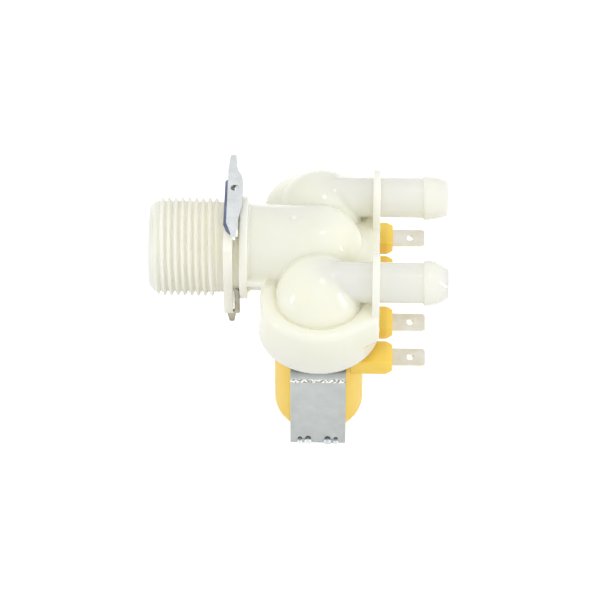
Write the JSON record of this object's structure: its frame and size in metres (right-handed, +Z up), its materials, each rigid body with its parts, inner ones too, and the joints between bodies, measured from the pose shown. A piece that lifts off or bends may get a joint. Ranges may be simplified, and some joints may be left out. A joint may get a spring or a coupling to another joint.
{
  "type": "washing machine inlet valve",
  "caption": "Plastic water inlet valve with a threaded inlet, barbed outlets side by side and solenoid coils below, held by a folded steel bracket.",
  "frame": {"origin": "centre of the inlet mouth, on the inlet thread's axis", "axes": "+X runs from the inlet towards the outlets, +Z is up with the chamber domes on top and the coils below, +Y is from the front valve to the rear one"},
  "size_m": [0.0796, 0.0638, 0.0624],
  "materials": {
    "body_nylon": "semi-gloss natural nylon, slightly translucent",
    "coil_yellow": "satin moulded",
    "zinc_steel": "bright zinc plating",
    "yoke_steel": "galvanised, dull",
    "tin_brass": "tinned brass",
    "rubber_black": "matt",
    "white_plastic": "matt",
    "guide_nylon": "matt black nylon",
    "copper_wire": "enamelled copper",
    "plunger_steel": "turned stainless steel",
    "spring_steel": "drawn wire"
  },
  "bodies": {
    "valve": {"valve_body": "body_nylon", "inlet_filter": "white_plastic", "flow_regulator_holder": "white_plastic", "flow_regulator_washer": "rubber_black", "mounting_bracket": "zinc_steel", "front_diaphragm": "rubber_black", "front_guide_tube": "guide_nylon", "front_return_spring": "spring_steel", "front_coil_bobbin": "guide_nylon", "front_coil_winding": "copper_wire", "front_flux_sleeve": "plunger_steel", "front_coil_housing": "coil_yellow", "front_yoke_frame": "yoke_steel", "front_yoke_end_plate": "yoke_steel", "front_inner_terminal": "tin_brass", "front_outer_terminal": "tin_brass", "rear_diaphragm": "rubber_black", "rear_guide_tube": "guide_nylon", "rear_return_spring": "spring_steel", "rear_coil_bobbin": "guide_nylon", "rear_coil_winding": "copper_wire", "rear_flux_sleeve": "plunger_steel", "rear_coil_housing": "coil_yellow", "rear_yoke_frame": "yoke_steel", "rear_yoke_end_plate": "yoke_steel", "rear_inner_terminal": "tin_brass", "rear_outer_terminal": "tin_brass"},
    "front_plunger_body": {"front_plunger": "plunger_steel", "front_plunger_seal": "rubber_black"},
    "front_insert_body": {"front_diaphragm_insert": "white_plastic"},
    "rear_plunger_body": {"rear_plunger": "plunger_steel", "rear_plunger_seal": "rubber_black"},
    "rear_insert_body": {"rear_diaphragm_insert": "white_plastic"}
  },
  "joints": [
    {"name": "front_plunger_travel", "type": "slide", "parent": "valve", "child": "front_plunger_body", "axis": [0, 0, -1], "range_m": [0, 0.0025], "stiffness_N_per_m": 120, "springref_m": -0.003, "deforming": ["front_return_spring"]},
    {"name": "front_diaphragm_lift", "type": "slide", "parent": "valve", "child": "front_insert_body", "axis": [0, 0, -1], "range_m": [0, 0.0015], "deforming": ["front_diaphragm"]},
    {"name": "rear_plunger_travel", "type": "slide", "parent": "valve", "child": "rear_plunger_body", "axis": [0, 0, -1], "range_m": [0, 0.0025], "stiffness_N_per_m": 120, "springref_m": -0.003, "deforming": ["rear_return_spring"]},
    {"name": "rear_diaphragm_lift", "type": "slide", "parent": "valve", "child": "rear_insert_body", "axis": [0, 0, -1], "range_m": [0, 0.0015], "deforming": ["rear_diaphragm"]}
  ],
  "couplings": [
    {"joint": "front_diaphragm_lift", "follows": "front_plunger_travel", "ratio": 0.6},
    {"joint": "rear_diaphragm_lift", "follows": "rear_plunger_travel", "ratio": 0.6}
  ]
}
